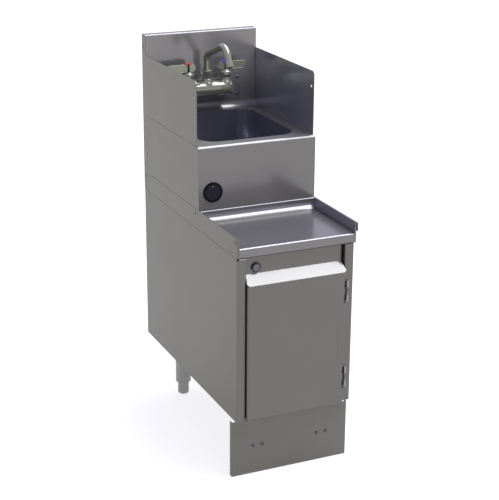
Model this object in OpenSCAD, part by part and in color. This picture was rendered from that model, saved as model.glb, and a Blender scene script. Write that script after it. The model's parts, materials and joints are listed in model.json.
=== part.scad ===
// Narrow stainless hand-sink station for a bar: a raised sink with a wall-mount tap, a low
// work deck in front of it, and a lockable cabinet on legs below.
// Front faces -Y, +X is to the right, the floor is Z = 0.

/* [Overall] */
// Width over the side guards
unit_w = 304.8; // [300:0.1:420]
// Depth from the face of the door frame to the rear
unit_d = 604; // [590:1:700]
// Height to the top of the backsplash
unit_h = 968; // [950:1:1080]
// Thickness of the sheet steel
sheet = 1.2; // [0.9:0.1:1.6]
// Gap that shows along the seams between side plates
seam = 0.7; // [0.4:0.1:1]

/* [Cabinet] */
// Height of the cabinet's underside above the floor
cabinet_z = 156.5; // [140:0.5:180]
// How much higher the right stile ends than the left one
right_stile_lift = 6.8; // [0:0.1:12]
// How far the right side panel stands in from the guards
right_inset = 8.6; // [7:0.1:20]
// Width of the left stile
left_stile_w = 22.5; // [20:0.1:40]
// Width of the right stile
right_stile_w = 23.2; // [21:0.1:40]
// Depth of the lips that turn in around the door opening
stile_lip = 8.6; // [6:0.1:10]
// Outside bend radius at the front corners
corner_r = 4.5; // [3:0.1:5.5]
// Outside radius of the tight bends
bend_r = 3; // [2:0.1:3.5]
// Radius of the hole for the waste pipe in the cabinet's floor
waste_hole_r = 28; // [22:0.5:35]
// Height of the rail under the door opening
sill_h = 12.7; // [10:0.1:20]

/* [Door] */
// How far the door's face stands in front of the frame
door_proud = 10.2; // [9.5:0.1:14]
// How far the strip that carries the lock lies behind the frame
strip_recess = 13; // [11:0.1:16]
// Height of the recessed strip that shows above the pull
strip_h = 43.6; // [42:0.1:60]
// Height of the sloped pull
pull_drop = 22.4; // [16:0.1:30]
// Gap between the cabinet's underside and the door's lower edge
door_foot_gap = 3.5; // [2:0.1:6]
// Overlap of the door's face on the stiles
door_overlay = 0.5; // [0.2:0.1:2]
// Side clearance of the door's inner parts in the opening
door_clear = 2; // [1.6:0.1:4]
// Outside bend radius of the door's face
door_bend_r = 4.8; // [3:0.1:6]
// Length of a hinge barrel
hinge_len = 53; // [40:1:70]
// Radius of a hinge barrel
hinge_r = 3.2; // [2.8:0.1:3.4]
// Radius of a hinge pin
hinge_pin_r = 1.75; // [1.2:0.05:2]
// Centre of the upper hinge below the pull
hinge_drop = 47.8; // [40:0.1:70]
// Centre of the lower hinge above the door's lower edge
hinge_rise = 69.5; // [50:0.1:100]

/* [Lock] */
// Centre of the lock from the left edge of the opening
lock_in = 28.4; // [24:0.1:60]
// Centre of the lock below the apron
lock_drop = 29; // [24:0.1:29.5]
// Radius of the black bezel
lock_bezel_r = 12.9; // [11:0.1:13.2]
// Radius of the lock's barrel
lock_r = 9.7; // [8:0.1:10]
// How far the lock's face stands out from the strip
lock_proud = 5; // [3:0.1:8]
// Length of the barrel behind the strip
lock_depth = 18; // [15:0.5:24]
// Length of the cam from the lock's centre
cam_reach = 36; // [32:0.5:40]

/* [Work deck] */
// Height of the sink deck above the work deck
riser_h = 178.5; // [150:0.5:200]
// Height of the deck's side guards above its surface
deck_guard_h = 25.1; // [22:0.1:32]
// Height of the front apron
apron_h = 22.5; // [18:0.1:30]
// Depth of the work deck, from its front to the riser's face
riser_y = 227; // [200:1:240]
// Inside radius of the coves behind both decks
cove_r = 18; // [8:0.5:19]
// Depth of the ledge on top of the rear upstand
ledge_d = 8.5; // [7.5:0.1:12]
// How far the right guard's hem stands out from its skirt
hem_out = 3; // [2.2:0.1:4.5]
// Height of the right guard's hem
hem_h = 20; // [15:0.1:22]
// Width of the flanges that turn in at the front of the skirts
skirt_flange = 6; // [5.8:0.1:9]

/* [Sink] */
// Height of the backsplash above the sink deck
splash_h = 205; // [196:0.5:230]
// Outside radius of the sink deck's rolled front edge
roll_r = 8; // [4:0.1:9]
// Width of the bowl's opening
bowl_w = 246; // [220:0.5:250]
// Distance from the riser's face to the bowl's front edge
bowl_front_gap = 36; // [34:0.1:60]
// Distance from the backsplash to the bowl's rear edge
bowl_rear_gap = 20; // [19:0.5:24]
// Depth of the bowl
bowl_depth = 140; // [110:1:142]
// Corner radius of the bowl, seen from above
bowl_corner_r = 42; // [37:0.5:70]
// Radius between the bowl's walls and floor
bowl_floor_r = 18; // [12:0.5:20.5]
// Radius of the drain's opening
drain_r = 19; // [16:0.1:22]
// Outside radius of the tailpiece
tail_r = 19.05; // [18.5:0.05:22]
// Length of the tailpiece below the bowl
tail_len = 110; // [80:1:140]

/* [Backsplash and guards] */
// Depth of the backsplash box
splash_d = 25.4; // [24:0.1:40]
// Height of the splash guards above the sink deck
guard_h = 154; // [120:1:170]
// Thickness of a splash guard
guard_t = 1.6; // [1.2:0.1:2]
// Set-back of the splash guards from the riser's face
guard_setback = 12; // [8:0.5:24]
// Chamfer at the guards' upper front corner
guard_chamfer = 5; // [2:0.1:10]
// Radius of the joining hole in each splash guard
guard_hole_r = 3.2; // [2:0.1:4]
// Radius of the plugs that close the joining holes
plug_r = 4; // [3:0.1:5]
// Centres of the lower plugs below the top of the deck guards
plug_drop = 10.8; // [9:0.1:14]
// Centre of the upper plug below the top of the backsplash
top_plug_drop = 32.8; // [20:0.1:60]

/* [Tap] */
// Width of the tap's wall plate
plate_w = 215; // [205:0.5:230]
// Height of the tap's wall plate
plate_h = 70.6; // [66:0.1:80]
// Thickness of the tap's wall plate
plate_t = 2.5; // [1.5:0.1:3]
// Centre of the wall plate above the sink deck
plate_rise = 57.3; // [55:0.1:70]
// Distance between the two valves
valve_pitch = 101.6; // [96:0.1:110]
// Distance of the valves from the backsplash
tap_out = 35; // [32:0.1:40]
// How far the tap's body reaches past a valve's centre
body_end = 24.2; // [20:0.1:30]
// Height of the tap's body
body_h = 38; // [34:0.1:42]
// Depth of the tap's body
body_d = 52; // [49:0.1:58]
// Outside radius of the spout's tube
spout_r = 8.4; // [7:0.1:9]
// Wall thickness of the spout's tube
spout_wall = 1.5; // [1:0.1:2]
// Height of the spout's first bend above the body
spout_rise = 68; // [60:0.5:70]
// Forward reach of the spout's second bend
spout_run = 120.6; // [100:0.1:130]
// Climb of the sloping tube
spout_climb = 46; // [30:0.5:47]
// Forward reach of the down leg
leg_run = 25.4; // [10:0.1:30]
// Drop of the down leg
leg_drop = 51; // [46:0.5:60]
// Length of a handle from its pivot to the outer tip
lever_out = 60.7; // [50:0.1:70]
// Length of a handle from its pivot to the inner end
lever_in = 19.6; // [16:0.1:24]
// Height of a handle's blade
lever_h = 20; // [16:0.1:24]
// Radius of the colour disc on a handle
index_r = 8.3; // [6:0.1:9]

/* [Legs and toe kick] */
// Radius of a leg's tube
leg_r = 20.65; // [19:0.05:24]
// Distance from a side plane to the centre of a leg
leg_in = 68; // [60:0.5:80]
// Centre of the front legs behind the frame's face
front_leg_y = 56; // [54:0.5:80]
// Centre of the rear legs behind the frame's face
rear_leg_y = 516; // [440:1:540]
// Radius of a foot
foot_r = 14.9; // [12:0.1:16]
// Height of a foot that shows under the tube
foot_h = 37; // [30:0.5:45]
// Radius of a foot's threaded stem
stem_r = 8; // [6:0.1:9]
// Travel of a levelling foot
foot_travel = 25; // [15:1:30]
// Height of the toe kick's upper edge
toe_top = 145; // [120:0.5:150]
// Gap under the toe kick
toe_gap = 2; // [1:0.5:6]
// Set-back of the toe kick from the frame's face
toe_setback = 28.5; // [20:0.5:31]
// Depth of the toe kick's side returns
toe_return = 12.5; // [10:0.5:15]
// Height of the screws in the toe kick's face
toe_screw_z = 73.5; // [50:0.5:100]
// Distance between the two screws of a pair
toe_screw_pitch = 24.4; // [20:0.1:30]

/* [Line grommet] */
// Outside radius of the grommet
grommet_r = 24.4; // [22:0.1:26]
// Radius of the grommet's turning cap
cap_r = 19; // [17:0.1:20]
// Centre of the grommet from the left side
grommet_in = 35.8; // [32:0.1:60]
// Centre of the grommet above the deck guards
grommet_rise = 41.9; // [34:0.1:70]

/* [Hidden] */
$fn = 64;

// Clearances and the overrun of every cut
overrun = 1;
slip = 0.3;
running = 0.05;
weld_gap = 0.1;
bend_steps = 8;

// Colours of the finishes
steel = [0.53, 0.53, 0.51];
steel_dark = [0.42, 0.42, 0.44];
chrome = [0.72, 0.73, 0.72];
black = [0.05, 0.05, 0.06];
slate = [0.12, 0.12, 0.15];

// The part's frame: X and Y are centred on the whole object
left_x = -unit_w / 2;
right_x = unit_w / 2;
front_y = -(unit_d - door_proud) / 2;

// Levels and places that follow from the driving sizes
sink_deck_z = unit_h - splash_h;
work_deck_z = sink_deck_z - riser_h;
apron_z = work_deck_z - apron_h;
guard_top_z = work_deck_z + deck_guard_h;
wall_y = unit_d - splash_d;
cabinet_right_x = right_x - right_inset;
opening_left_x = left_x + left_stile_w;
opening_right_x = cabinet_right_x - right_stile_w;
sill_bottom_z = cabinet_z + right_stile_lift;
sill_top_z = sill_bottom_z + sill_h;
floor_top_z = sill_top_z - bend_r;
cabinet_top_z = apron_z - seam;
rear_flange = 15;
deck_left_x = left_x + sheet;
deck_right_x = right_x - hem_out - sheet;

// Unit direction, left-hand normal and length along a flat outline
function unit(v) = v / norm(v);
function left_of(v) = [-v[1], v[0]];
function turned(v, a) = [v[0] * cos(a) - v[1] * sin(a), v[0] * sin(a) + v[1] * cos(a)];

// Points and left-hand normals of a polyline p whose corners are bent to the radii r
function bend_at(p, i, r) =
    let (d0 = unit(p[i] - p[i - 1]))
    let (d1 = unit(p[i + 1] - p[i]))
    let (side = sign(cross(d0, d1)))
    let (angle = acos(d0 * d1))
    let (centre = p[i] - d0 * r * tan(angle / 2) + side * r * left_of(d0))
    [for (k = [0:bend_steps])
        let (n = turned(-side * left_of(d0), side * angle * k / bend_steps))
        [centre + r * n, -side * n]];
function stations(p, r) =
    let (last = len(p) - 1)
    concat(
        [[p[0], left_of(unit(p[1] - p[0]))]],
        [for (i = [1:1:last - 1]) each bend_at(p, i, r[i - 1])],
        [[p[last], left_of(unit(p[last] - p[last - 1]))]]
    );

// Outline of a sheet bent along p; its thickness lies to the left of p, or to the right if negative
module bent_sheet(p, r, thick) {
    s = stations(p, r);
    n = len(s);
    polygon(concat(
        [for (e = s) e[0]],
        [for (i = [0:n - 1]) s[n - 1 - i][0] + thick * s[n - 1 - i][1]]
    ));
}

// Extrusions of an outline along each axis, and solids given by their corners
module along_x(x0, x1) translate([x0, 0, 0]) rotate([90, 0, 90]) linear_extrude(x1 - x0) children();
module along_y(y0, y1) translate([0, y1, 0]) rotate([90, 0, 0]) linear_extrude(y1 - y0) children();
module along_z(z0, z1) translate([0, 0, z0]) linear_extrude(z1 - z0) children();
module block(low, high) translate(low) cube(high - low);
module rod_x(y, z, x0, x1, r) translate([x0, y, z]) rotate([0, 90, 0]) cylinder(r = r, h = x1 - x0);
module rod_y(x, z, y0, y1, r) translate([x, y1, z]) rotate([90, 0, 0]) cylinder(r = r, h = y1 - y0);
module rod_z(x, y, z0, z1, r) translate([x, y, z0]) cylinder(r = r, h = z1 - z0);
module hex_y(x, z, y0, y1, flats) rod_y_sided(x, z, y0, y1, flats / sqrt(3), 6);
module rod_y_sided(x, z, y0, y1, r, sides) {
    translate([x, y1, z]) rotate([90, 0, 0]) cylinder(r = r, h = y1 - y0, $fn = sides);
}
module mirrored() mirror([1, 0, 0]) children();
module in_frame() translate([0, front_y, 0]) children();

// Rectangle between two corners, with rounded corners
module round_rect(low, high, r) {
    for (x = [low[0] + r, high[0] - r])
        for (y = [low[1] + r, high[1] - r])
            translate([x, y]) circle(r);
    translate([low[0] + r, low[1]]) square([high[0] - low[0] - 2 * r, high[1] - low[1]]);
    translate([low[0], low[1] + r]) square([high[0] - low[0], high[1] - low[1] - 2 * r]);
}

// Cabinet
module side_outline(x, stile_w) {
    bent_sheet(
        [[x + stile_w, stile_lip], [x + stile_w, 0], [x, 0], [x, unit_d], [x + rear_flange, unit_d]],
        [bend_r, corner_r, bend_r],
        -sheet
    );
}
stile_top_depth = 9;
module left_side_panel() in_frame() color(steel) {
    along_z(cabinet_z, cabinet_top_z - corner_r) side_outline(left_x, left_stile_w);
    along_z(cabinet_top_z - corner_r - overrun, cabinet_top_z) intersection() {
        side_outline(left_x, left_stile_w);
        translate([left_x, corner_r]) square([left_stile_w, unit_d]);
    }
    along_x(left_x + corner_r, opening_left_x) bent_sheet(
        [[0, cabinet_top_z - corner_r - overrun], [0, cabinet_top_z], [stile_top_depth, cabinet_top_z]],
        [corner_r],
        -sheet
    );
}
module right_side_panel() in_frame() color(steel) mirrored()
    along_z(sill_bottom_z, cabinet_top_z) side_outline(-cabinet_right_x, right_stile_w);

rear_cut_w = 150;
rear_cut_h = 90;
rear_cut_drop = 60;
module rear_panel() in_frame() color(steel) difference() {
    block(
        [left_x + bend_r, unit_d - 2 * sheet, sill_bottom_z],
        [cabinet_right_x - bend_r, unit_d - sheet, cabinet_top_z]
    );
    along_y(unit_d - 2 * sheet - overrun, unit_d) round_rect(
        [-rear_cut_w / 2, cabinet_top_z - rear_cut_drop - rear_cut_h],
        [rear_cut_w / 2, cabinet_top_z - rear_cut_drop],
        corner_r
    );
}
module cabinet_floor() in_frame() color(steel) difference() {
    along_x(left_x + sheet, cabinet_right_x - sheet) bent_sheet(
        [
            [stile_lip, sill_bottom_z],
            [stile_lip, floor_top_z],
            [unit_d - bend_r, floor_top_z],
            [unit_d - bend_r, sill_bottom_z]
        ],
        [bend_r, bend_r],
        -sheet
    );
    rod_z(0, drain_y, floor_top_z - 2 * sheet, floor_top_z + overrun, waste_hole_r);
}
module frame_sill() in_frame() color(steel) along_x(opening_left_x, opening_right_x) bent_sheet(
    [
        [stile_lip, sill_bottom_z],
        [0, sill_bottom_z],
        [0, sill_top_z],
        [stile_lip, sill_top_z]
    ],
    [bend_r, bend_r],
    -sheet
);
header_d = 27;
header_y = 11;
module frame_header() in_frame() color(steel) along_x(deck_left_x, deck_right_x) bent_sheet(
    [
        [header_y + header_d, apron_z],
        [header_y, apron_z],
        [header_y, work_deck_z - sheet],
        [header_y + header_d, work_deck_z - sheet]
    ],
    [bend_r, bend_r],
    -sheet
);

// The keeper that the lock's cam turns behind
lock_x = opening_left_x + lock_in;
lock_z = apron_z - lock_drop;
strip_y = strip_recess;
cam_t = 2.5;
cam_w = 14;
cam_y = strip_y + sheet + lock_depth;
keeper_h = 30;
keeper_t = 2;
keeper_gap = 1;
keeper_leg = 20;
keeper_y = cam_y - keeper_gap - keeper_t;
module latch_keeper() in_frame() color(steel_dark) {
    block(
        [left_x + sheet, keeper_y, lock_z - keeper_h / 2],
        [opening_left_x - door_clear, keeper_y + keeper_t, lock_z + keeper_h / 2]
    );
    block(
        [left_x + sheet, keeper_y, lock_z - keeper_h / 2],
        [left_x + sheet + keeper_t, keeper_y + keeper_leg, lock_z + keeper_h / 2]
    );
}

// Work deck
apron_return = 10;
upstand_y = riser_y - ledge_d;
ledge_tuck = 8;
module work_deck() in_frame() color(steel) difference() {
    along_x(deck_left_x, deck_right_x) bent_sheet(
        [
            [apron_return, apron_z],
            [0, apron_z],
            [0, work_deck_z],
            [upstand_y, work_deck_z],
            [upstand_y, guard_top_z],
            [riser_y + ledge_tuck, guard_top_z]
        ],
        [bend_r, corner_r, cove_r, bend_r],
        -sheet
    );
    along_z(apron_z - overrun, guard_top_z) {
        corner_relief(left_x);
        mirrored() corner_relief(left_x + hem_out);
    }
}
// What a skirt's bent front corner takes out of the deck's corner
module corner_relief(x) difference() {
    translate([x - overrun, -overrun]) square([skirt_flange + overrun, corner_r + overrun]);
    translate([x + corner_r, corner_r]) circle(corner_r - sheet - weld_gap);
    translate([x + corner_r, sheet]) square([skirt_flange, corner_r]);
}
plug_sink = 0.8;
plug_t = 1.2;
plug_margin = 1;
plug_behind_riser = 21.4;
rear_plug_in = 9;
plug_z = guard_top_z - plug_drop;
skirt_end_y = wall_y - seam;
front_plug_y = corner_r + plug_margin + plug_r;
plug_places = [front_plug_y, riser_y + plug_behind_riser];
module plug_holes() {
    for (y = plug_places) rod_x(y, plug_z, left_x - overrun, left_x + hem_out + 2 * sheet, plug_r);
}
module skirt_outline(x) bent_sheet(
    [[x + skirt_flange, 0], [x, 0], [x, skirt_end_y]],
    [corner_r],
    -sheet
);
module left_skirt() in_frame() color(steel) difference() {
    union() {
        along_z(apron_z, guard_top_z) skirt_outline(left_x);
        skirt_ledge(left_x);
    }
    plug_holes();
}
// Flange under the skirt's upper edge, which closes the seam from inside
ledge_flange = 10;
module skirt_ledge(x) block(
    [x, riser_y + ledge_tuck + seam, guard_top_z - sheet],
    [x + ledge_flange, skirt_end_y, guard_top_z]
);
module right_skirt() in_frame() color(steel) mirrored() difference() {
    union() {
        along_z(apron_z, guard_top_z) skirt_outline(left_x + hem_out);
        skirt_ledge(left_x + hem_out);
        block(
            [left_x, 0, guard_top_z - hem_h],
            [left_x + hem_out, skirt_end_y, guard_top_z]
        );
    }
    plug_holes();
}

// Sink top: riser, deck, cove, backsplash face, top and rear return, bent from one sheet
splash_bend_r = 4;
bowl_rear_y = wall_y - bowl_rear_gap;
bowl_front_y = riser_y + bowl_front_gap;
grommet_x = left_x + grommet_in;
grommet_z = guard_top_z + grommet_rise;
grommet_lip = 3;
grommet_sleeve_r = grommet_r - grommet_lip;
tap_z = sink_deck_z + plate_rise;
body_rise = 6.3;
shank_z = tap_z + body_rise;
shank_r = 10.45;
shank_step = 0.75;
shank_seat_r = shank_r + shank_step;
plate_screw_side = 9.2;
plate_screw_edge = 12.8;
plate_screw_dx = plate_w / 2 - plate_screw_side;
plate_screw_dz = plate_h / 2 - plate_screw_edge;
plate_screw_r = 2;
rear_return = 22;
module sink_top() in_frame() color(steel) difference() {
    along_x(left_x + guard_t, right_x - guard_t) bent_sheet(
        [
            [riser_y, guard_top_z],
            [riser_y, sink_deck_z],
            [wall_y, sink_deck_z],
            [wall_y, unit_h],
            [unit_d, unit_h],
            [unit_d, unit_h - rear_return]
        ],
        [roll_r, cove_r, splash_bend_r, bend_r],
        -sheet
    );
    along_z(sink_deck_z - 2 * sheet, sink_deck_z + overrun) round_rect(
        [-bowl_w / 2, bowl_front_y],
        [bowl_w / 2, bowl_rear_y],
        bowl_corner_r
    );
    rod_y(grommet_x, grommet_z, riser_y - overrun, riser_y + 2 * sheet, grommet_sleeve_r);
    for (side = [-1, 1]) {
        rod_y(side * valve_x, shank_z, wall_y - overrun, wall_y + 2 * sheet, shank_seat_r + slip);
        for (up = [-1, 1])
            rod_y(
                side * plate_screw_dx,
                tap_z + up * plate_screw_dz,
                wall_y - overrun,
                wall_y + 2 * sheet,
                plate_screw_r
            );
    }
}

// Side plates of the riser, with a flange turned in along the lower edge
module riser_side() {
    along_x(left_x, left_x + guard_t) bent_sheet_plate(
        [riser_y, guard_top_z + seam],
        [skirt_end_y, sink_deck_z - seam],
        roll_r
    );
    block(
        [left_x, riser_y + roll_r, guard_top_z + seam],
        [left_x + ledge_flange, skirt_end_y, guard_top_z + seam + sheet]
    );
}
// Flat plate with its upper front corner rounded
module bent_sheet_plate(low, high, r) {
    translate([low[0] + r, high[1] - r]) circle(r);
    translate([low[0] + r, low[1]]) square([high[0] - low[0] - r, high[1] - low[1]]);
    translate(low) square([r, high[1] - low[1] - r]);
}
module left_riser_side() in_frame() color(steel) riser_side();
module right_riser_side() in_frame() color(steel) mirrored() riser_side();

service_w = 200;
service_h = 90;
module riser_back() in_frame() color(steel) difference() {
    block(
        [left_x + guard_t, unit_d - sheet, apron_z],
        [right_x - guard_t, unit_d, sink_deck_z - seam]
    );
    along_y(unit_d - sheet - overrun, unit_d + overrun) round_rect(
        [-service_w / 2, guard_top_z + sheet],
        [service_w / 2, guard_top_z + sheet + service_h],
        corner_r
    );
}

// Splash guards
guard_front_y = riser_y + guard_setback;
guard_top = sink_deck_z + guard_h;
guard_hole_in = 14;
guard_hole_drop = 38;
guard_hole_y = guard_front_y + guard_hole_in;
guard_hole_z = guard_top - guard_hole_drop;
module splash_guard() difference() {
    along_x(left_x, left_x + guard_t) polygon([
        [guard_front_y, sink_deck_z],
        [guard_front_y, guard_top - guard_chamfer],
        [guard_front_y + guard_chamfer, guard_top],
        [wall_y, guard_top],
        [wall_y, sink_deck_z]
    ]);
    rod_x(guard_hole_y, guard_hole_z, left_x - overrun, left_x + guard_t + overrun, guard_hole_r);
}
module left_splash_guard() in_frame() color(steel) splash_guard();
module right_splash_guard() in_frame() color(steel_dark) mirrored() splash_guard();

// Rear columns: they close the ends of the backsplash box and of the space behind the skirts
column_plugs = [unit_h - top_plug_drop, plug_z];
module end_cap() difference() {
    along_x(left_x, left_x + guard_t) {
        bent_sheet_plate([wall_y, apron_z], [unit_d, unit_h], splash_bend_r);
    }
    for (z = column_plugs)
        rod_x(unit_d - rear_plug_in, z, left_x - overrun, left_x + guard_t + overrun, plug_r);
}
module left_end_cap() in_frame() color(steel) end_cap();
module right_end_cap() in_frame() color(steel) mirrored() end_cap();

// Plugs in the joining holes of the skirts and of the rear columns
module plug_set() {
    for (y = plug_places) rod_x(y, plug_z, left_x + plug_sink, left_x + plug_sink + plug_t, plug_r);
    for (z = column_plugs)
        rod_x(unit_d - rear_plug_in, z, left_x + plug_sink, left_x + plug_sink + plug_t, plug_r);
}
module joining_plugs() in_frame() color(steel_dark) {
    plug_set();
    mirrored() plug_set();
}

// Bowl: straight walls, rounded in plan, with a rounded edge all round its floor
bowl_lip_z = sink_deck_z - sheet;
bowl_floor_z = sink_deck_z - bowl_depth;
drain_y = (bowl_front_y + bowl_rear_y) / 2;
module bowl_solid(low, high, corner, edge, z0, z1) intersection() {
    along_z(z0, z1) round_rect(low, high, corner);
    along_x(low[0], high[0]) round_rect([low[1], z0], [high[1], z1 + 2 * edge], edge);
    along_y(low[1], high[1]) round_rect([low[0], z0], [high[0], z1 + 2 * edge], edge);
}
module sink_bowl() in_frame() color(steel_dark) difference() {
    bowl_solid(
        [-bowl_w / 2 - sheet, bowl_front_y - sheet],
        [bowl_w / 2 + sheet, bowl_rear_y + sheet],
        bowl_corner_r + sheet,
        bowl_floor_r + sheet,
        bowl_floor_z - sheet,
        bowl_lip_z
    );
    bowl_solid(
        [-bowl_w / 2, bowl_front_y],
        [bowl_w / 2, bowl_rear_y],
        bowl_corner_r,
        bowl_floor_r,
        bowl_floor_z,
        bowl_lip_z + overrun
    );
    rod_z(0, drain_y, bowl_floor_z - 2 * sheet, bowl_floor_z + overrun, drain_neck_r);
}

// Drain
drain_lip = 9;
drain_flange_r = drain_r + drain_lip;
drain_flange_t = 2;
drain_wall = 4;
drain_neck_r = drain_r + drain_wall;
drain_neck_len = 32;
drain_seat = 2;
drain_seat_drop = 4;
nut_lip = 8;
nut_r = drain_neck_r + nut_lip;
nut_t = 9;
tail_wall = 1.5;
tail_in = 10;
tail_collar = 1;
tail_collar_r = tail_r + tail_collar;
relief = 0.5;
relief_len = 2;
drain_bottom_z = bowl_floor_z - drain_neck_len;
tail_top_z = drain_bottom_z + tail_in;
tail_bottom_z = drain_bottom_z - tail_len;
module drain_flange() in_frame() color(chrome) translate([0, drain_y, 0]) difference() {
    union() {
        rod_z(0, 0, bowl_floor_z, bowl_floor_z + drain_flange_t, drain_flange_r);
        rod_z(0, 0, drain_bottom_z, bowl_floor_z + drain_flange_t, drain_neck_r);
    }
    rod_z(0, 0, bowl_floor_z - drain_seat_drop, bowl_floor_z + drain_flange_t + overrun, drain_r);
    rod_z(0, 0, tail_top_z, bowl_floor_z, drain_r - drain_seat);
    rod_z(0, 0, drain_bottom_z - overrun, tail_top_z, tail_collar_r);
}
module drain_locknut() in_frame() color(steel_dark) translate([0, drain_y, 0]) difference() {
    translate([0, 0, bowl_floor_z - sheet - nut_t]) cylinder(r = nut_r, h = nut_t, $fn = 8);
    rod_z(0, 0, bowl_floor_z - sheet - nut_t - overrun, bowl_floor_z, drain_neck_r);
}
module drain_tailpiece() in_frame() color(chrome) translate([0, drain_y, 0]) difference() {
    union() {
        rod_z(0, 0, tail_bottom_z, drain_bottom_z - relief_len, tail_r);
        rod_z(0, 0, tail_bottom_z, tail_top_z, tail_r - relief);
        rod_z(0, 0, drain_bottom_z, tail_top_z, tail_collar_r);
    }
    rod_z(0, 0, tail_bottom_z - overrun, tail_top_z + overrun, tail_r - tail_wall);
}
strainer_t = 1.5;
strainer_hole_r = 1.5;
strainer_holes = 8;
strainer_rings = [0.4, 0.72];
strainer_z = bowl_floor_z - drain_seat_drop;
strainer_r = drain_r - slip;
strainer_knob_r = 3;
strainer_knob_h = 7;
module crumb_strainer() in_frame() color(steel) translate([0, drain_y, 0]) {
    difference() {
        rod_z(0, 0, strainer_z, strainer_z + strainer_t, strainer_r);
        for (share = strainer_rings)
            for (k = [0:strainer_holes - 1])
                rotate([0, 0, (k + share) * 360 / strainer_holes])
                    rod_z(
                        share * strainer_r,
                        0,
                        strainer_z - overrun,
                        strainer_z + strainer_t + overrun,
                        strainer_hole_r
                    );
    }
    rod_z(0, 0, strainer_z + strainer_t, strainer_z + strainer_t + strainer_knob_h, strainer_knob_r);
}

// Tap
plate_front_y = wall_y - plate_t;
valve_x = valve_pitch / 2;
tap_y = wall_y - tap_out;
body_top_z = shank_z + body_h / 2;
body_bottom_z = shank_z - body_h / 2;
body_front_y = plate_front_y - body_d;
body_x = valve_x + body_end;
body_nose_r = 17;
body_end_r = 22;
neck_r = 11;
body_tip_r = 8;
body_flare_r = body_end - neck_r;
body_sweep = body_flare_r + body_tip_r;
flare_side = body_sweep - body_flare_r;
flare_drop = sqrt(body_sweep * body_sweep - flare_side * flare_side);
flare_end_x = body_x - body_tip_r + body_tip_r * flare_side / body_sweep;
module tap_plate() in_frame() color(steel_dark) difference() {
    along_y(plate_front_y, wall_y) round_rect(
        [-plate_w / 2, tap_z - plate_h / 2],
        [plate_w / 2, tap_z + plate_h / 2],
        bend_r
    );
    for (side = [-1, 1]) {
        rod_y(side * valve_x, shank_z, plate_front_y - overrun, wall_y + overrun, shank_seat_r + slip);
        for (up = [-1, 1])
            rod_y(
                side * plate_screw_dx,
                tap_z + up * plate_screw_dz,
                plate_front_y - overrun,
                wall_y + overrun,
                plate_screw_r
            );
    }
}
screw_head_r = 4;
screw_head_t = 2.2;
screw_tail = 8;
driver_w = 1;
module screw_y(x, z, y, r, tail) {
    difference() {
        rod_y(x, z, y - screw_head_t, y, screw_head_r);
        for (turn = [0, 90])
            translate([x, y - screw_head_t, z]) rotate([0, turn, 0])
                cube([2 * screw_head_r - 3 * driver_w, 2 * driver_w, driver_w], center = true);
    }
    rod_y(x, z, y, y + tail, r);
}
module plate_screws() in_frame() color(chrome)
    for (side = [-1, 1])
        for (up = [-1, 1])
            screw_y(
                side * plate_screw_dx,
                tap_z + up * plate_screw_dz,
                plate_front_y,
                plate_screw_r,
                plate_t + screw_tail
            );
valve_seat_r = 8;
valve_seat_h = 10;
// Front outline of the body: a rounded bar whose shoulders sweep up to the outer valves' necks
module body_front() {
    round_rect([-body_x, body_bottom_z], [body_x, body_top_z - flare_drop + body_tip_r], body_tip_r);
    translate([-valve_x - neck_r, shank_z]) square([2 * (valve_x + neck_r), body_top_z - shank_z]);
    for (side = [0, 1])
        mirror([side, 0]) difference() {
            translate([valve_x, body_top_z - flare_drop]) square([flare_end_x - valve_x, flare_drop]);
            translate([body_x, body_top_z]) circle(body_flare_r);
        }
}
module tap_body() in_frame() color(chrome) difference() {
    intersection() {
        along_x(-body_x, body_x) {
            round_rect([body_front_y, body_bottom_z], [plate_front_y, body_top_z], body_nose_r);
            translate([plate_front_y - body_nose_r, body_bottom_z]) square([body_nose_r, body_h]);
        }
        along_z(body_bottom_z, body_top_z) {
            round_rect([-body_x, body_front_y], [body_x, plate_front_y], body_end_r);
            translate([-body_x, plate_front_y - body_end_r]) square([2 * body_x, body_end_r]);
        }
        along_y(body_front_y, plate_front_y) body_front();
    }
    for (side = [-1, 1]) {
        rod_z(side * valve_x, tap_y, body_top_z - valve_seat_h, body_top_z + overrun, valve_seat_r);
        rod_y(side * valve_x, shank_z, plate_front_y - shank_in, plate_front_y + overrun, shank_seat_r);
    }
    rod_z(0, tap_y, body_top_z - valve_seat_h, body_top_z + overrun, valve_seat_r);
}
shank_in = 8;
shank_out = 24;
shank_bore_r = 6.5;
shank_nut_flats = 30;
shank_nut_t = 6;
shank_seat_y = wall_y + sheet + shank_nut_t;
module supply_shanks() in_frame() color("tan") for (side = [-1, 1]) difference() {
    union() {
        rod_y(side * valve_x, shank_z, plate_front_y - shank_in, shank_seat_y, shank_seat_r);
        rod_y(side * valve_x, shank_z, plate_front_y, wall_y + shank_out, shank_r - relief);
        rod_y(side * valve_x, shank_z, shank_seat_y + relief_len, wall_y + shank_out, shank_r);
    }
    rod_y(side * valve_x, shank_z, plate_front_y, wall_y + shank_out + overrun, shank_bore_r);
}
module shank_nuts() in_frame() color("tan") for (side = [-1, 1]) difference() {
    hex_y(side * valve_x, shank_z, wall_y + sheet, shank_seat_y, shank_nut_flats);
    rod_y(side * valve_x, shank_z, wall_y, shank_seat_y + overrun, shank_seat_r);
}

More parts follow.
